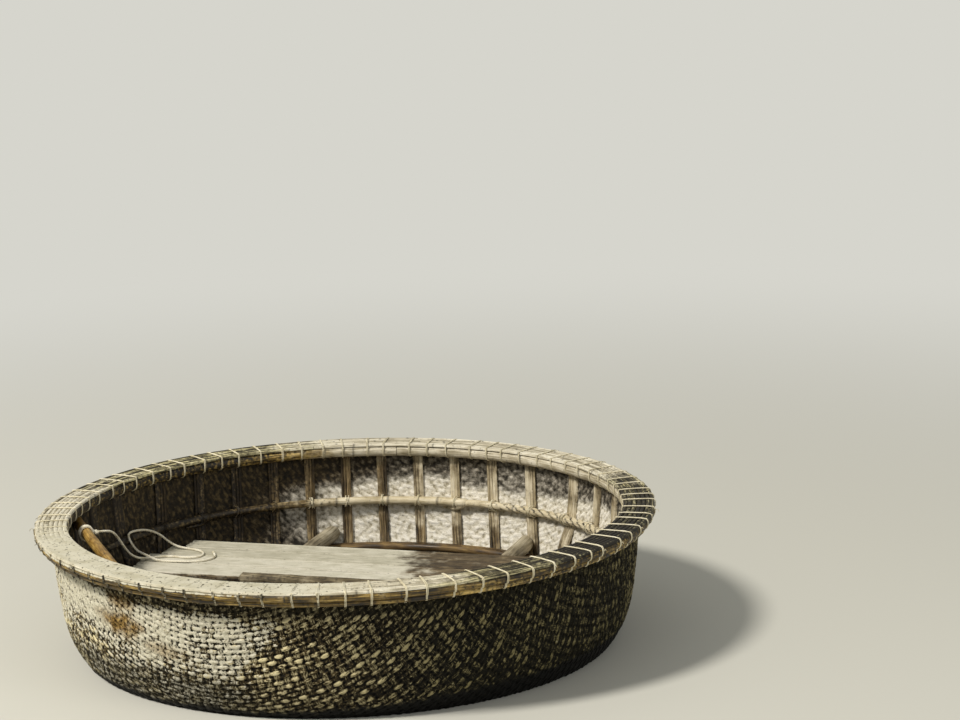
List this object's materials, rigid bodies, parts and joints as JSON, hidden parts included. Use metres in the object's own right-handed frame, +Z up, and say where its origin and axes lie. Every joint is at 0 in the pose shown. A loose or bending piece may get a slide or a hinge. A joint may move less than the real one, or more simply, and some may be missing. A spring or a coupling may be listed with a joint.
{
  "type": "coracle",
  "caption": "Round basket coracle of woven split bamboo with a lashed rim, inner lattice of slats, boards on bearers and a rope painter.",
  "frame": {"origin": "middle of the flat bottom, on the surface the boat stands on", "axes": "+Z up, +X to the right of the boat as the picture shows it, +Y to its far side"},
  "size_m": [2, 2, 0.58],
  "materials": {
    "woven_bamboo": "split-bamboo weave coated with resin and dung, patchily whitewashed",
    "bamboo_hoop": "split bamboo, weathered brown",
    "bleached_bamboo": "split bamboo, bleached by sun and salt",
    "bamboo_slat": "dry split bamboo",
    "dry_pole": "dry bamboo pole, pale tan",
    "dark_pole": "damp wooden pole",
    "grey_pole": "weathered bare wood",
    "yellow_bamboo": "dry yellow bamboo",
    "weathered_board": "bare board, bleached and cracked",
    "rope": "laid rope, off-white"
  },
  "bodies": {
    "root": {"basket_skin": "woven_bamboo", "outer_hoop_upper": "bamboo_hoop", "outer_hoop_lower": "bamboo_hoop", "inner_hoop": "bamboo_hoop", "rim_cap_strips": "bleached_bamboo", "stringer_hoop": "dry_pole", "shelf_hoop": "bamboo_hoop", "bearer_left": "dark_pole", "bearer_right": "dark_pole", "deck_pole": "grey_pole", "tow_beam": "yellow_bamboo", "painter_rope": "rope", "painter_hitch": "rope", "rib_fore_aft_01": "bamboo_slat", "rib_fore_aft_02": "bamboo_slat", "rib_fore_aft_03": "bamboo_slat", "rib_fore_aft_04": "bamboo_slat", "rib_fore_aft_05": "bamboo_slat", "rib_fore_aft_06": "bamboo_slat", "rib_fore_aft_07": "bamboo_slat", "rib_fore_aft_08": "bamboo_slat", "rib_fore_aft_09": "bamboo_slat", "rib_fore_aft_10": "bamboo_slat", "rib_fore_aft_11": "bamboo_slat", "rib_athwart_01": "bamboo_slat", "rib_athwart_02": "bamboo_slat", "rib_athwart_03": "bamboo_slat", "rib_athwart_04": "bamboo_slat", "rib_athwart_05": "bamboo_slat", "rib_athwart_06": "bamboo_slat", "rib_athwart_07": "bamboo_slat", "rib_athwart_08": "bamboo_slat", "rib_athwart_09": "bamboo_slat", "deck_board_1": "weathered_board", "deck_board_2": "weathered_board", "deck_board_3": "weathered_board", "deck_board_4": "weathered_board", "deck_board_5": "weathered_board", "deck_board_6": "weathered_board", "deck_board_7": "weathered_board"}
  },
  "joints": []
}
